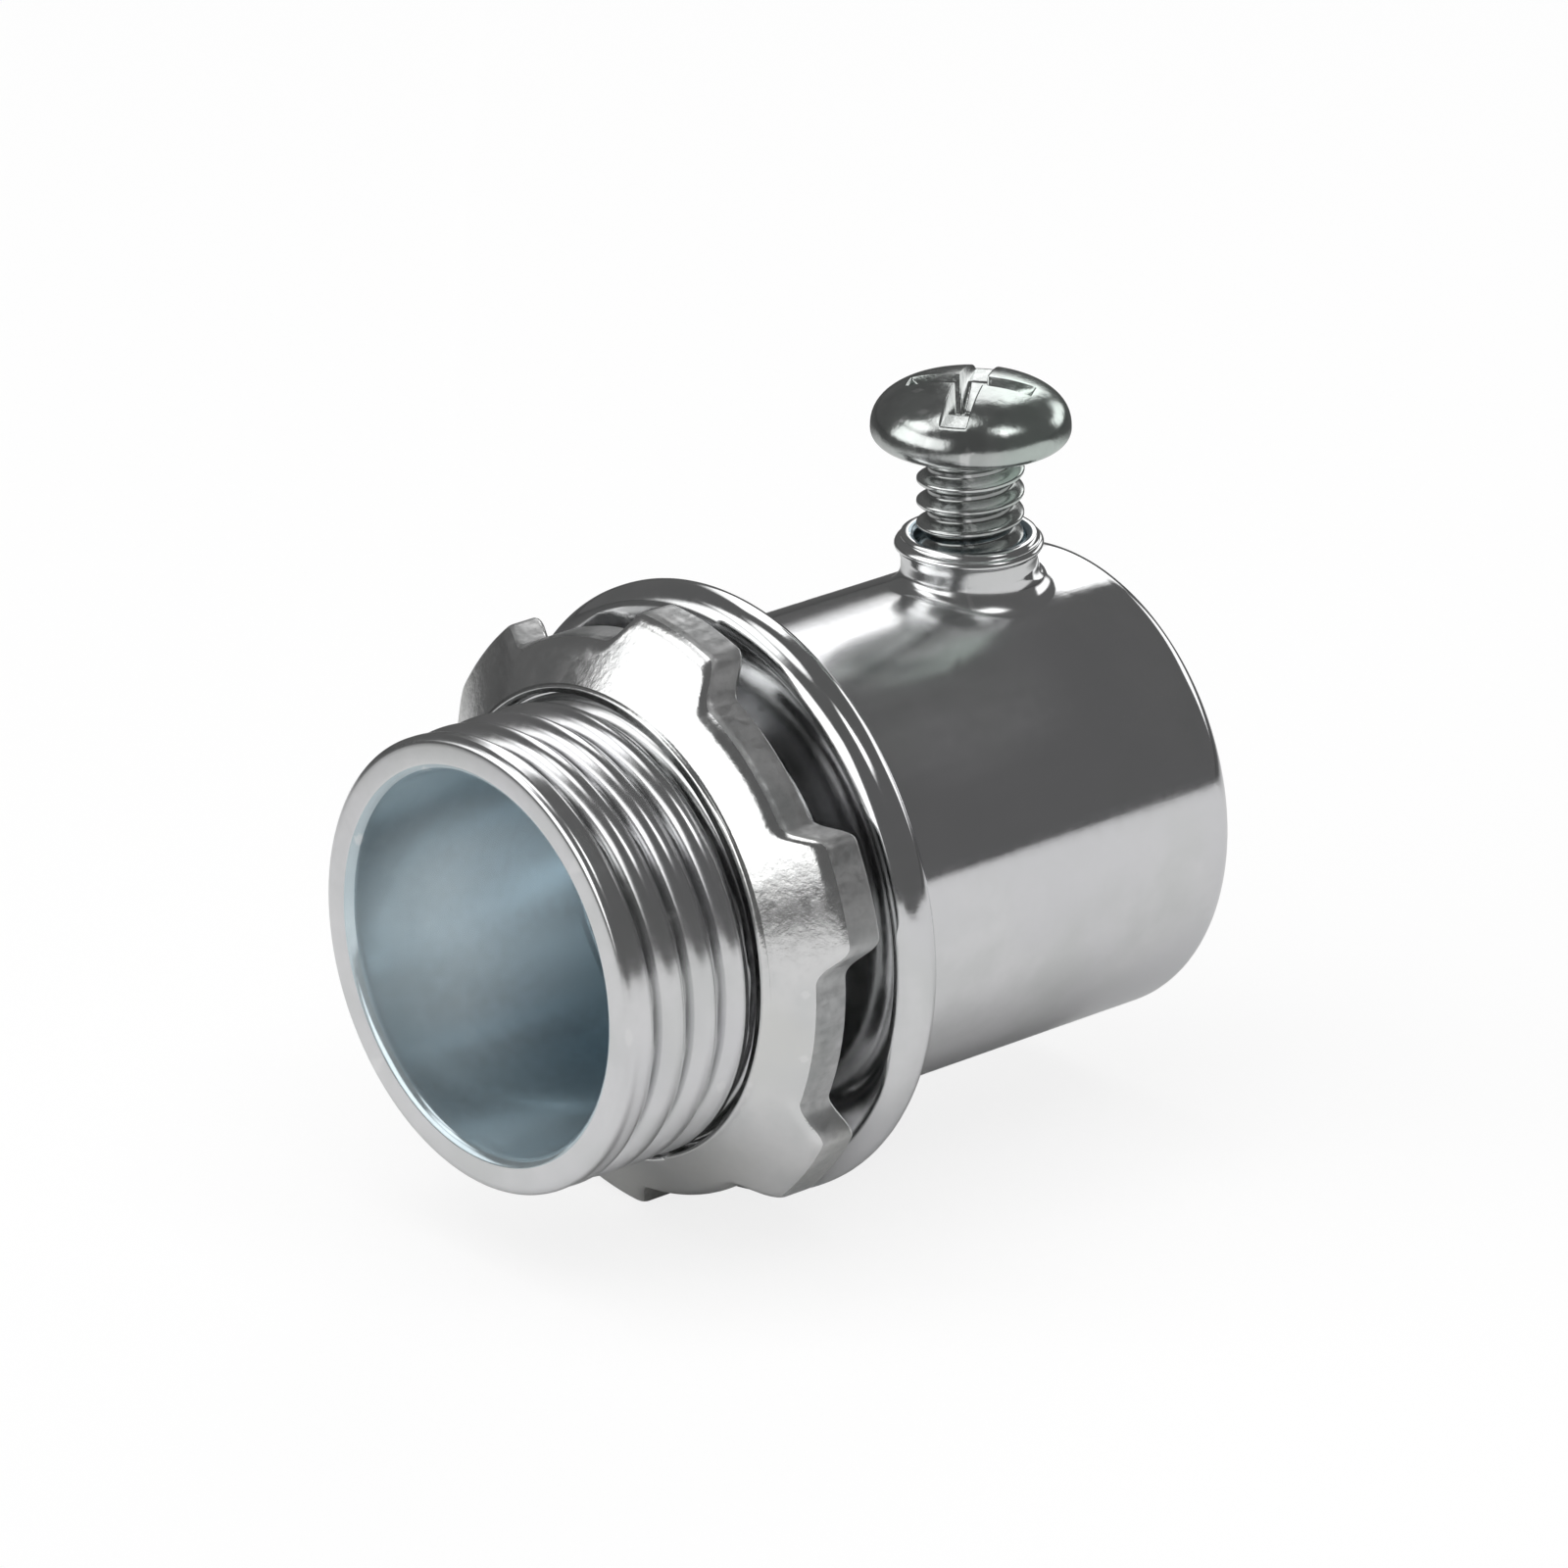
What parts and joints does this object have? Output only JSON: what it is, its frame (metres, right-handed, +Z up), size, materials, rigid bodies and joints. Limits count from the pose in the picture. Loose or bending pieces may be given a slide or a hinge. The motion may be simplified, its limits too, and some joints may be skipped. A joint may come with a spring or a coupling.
{
  "type": "emt set-screw conduit connector",
  "caption": "Zinc-plated steel connector for thin-wall conduit: threaded nipple with a dished lobed locknut, bead shoulder, plain barrel and a tapped boss with a pan-head set screw.",
  "frame": {"origin": "centre of the bore on the front face of the shoulder, the face that rests on the box", "axes": "+X along the bore from the threaded nipple towards the conduit end, +Z up the set screw's axis towards its head"},
  "size_m": [0.0353, 0.028, 0.0345],
  "materials": {
    "body_zinc": "bright zinc plate, blue passivated inside the bore",
    "nut_zinc": "bright zinc plate on stamped sheet, finely mottled",
    "screw_zinc": "darker zinc plate on a cold-headed screw"
  },
  "bodies": {
    "connector": {"connector_body": "body_zinc"},
    "nut": {"locknut": "nut_zinc"},
    "screw": {"set_screw": "screw_zinc"}
  },
  "joints": [
    {"name": "locknut_travel", "type": "slide", "parent": "connector", "child": "nut", "axis": [1, 0, 0], "range_m": [-0.0082, 0.0018]},
    {"name": "screw_travel", "type": "slide", "parent": "connector", "child": "screw", "axis": [0, 0, 1], "range_m": [-0.0043, 0.0025]}
  ]
}
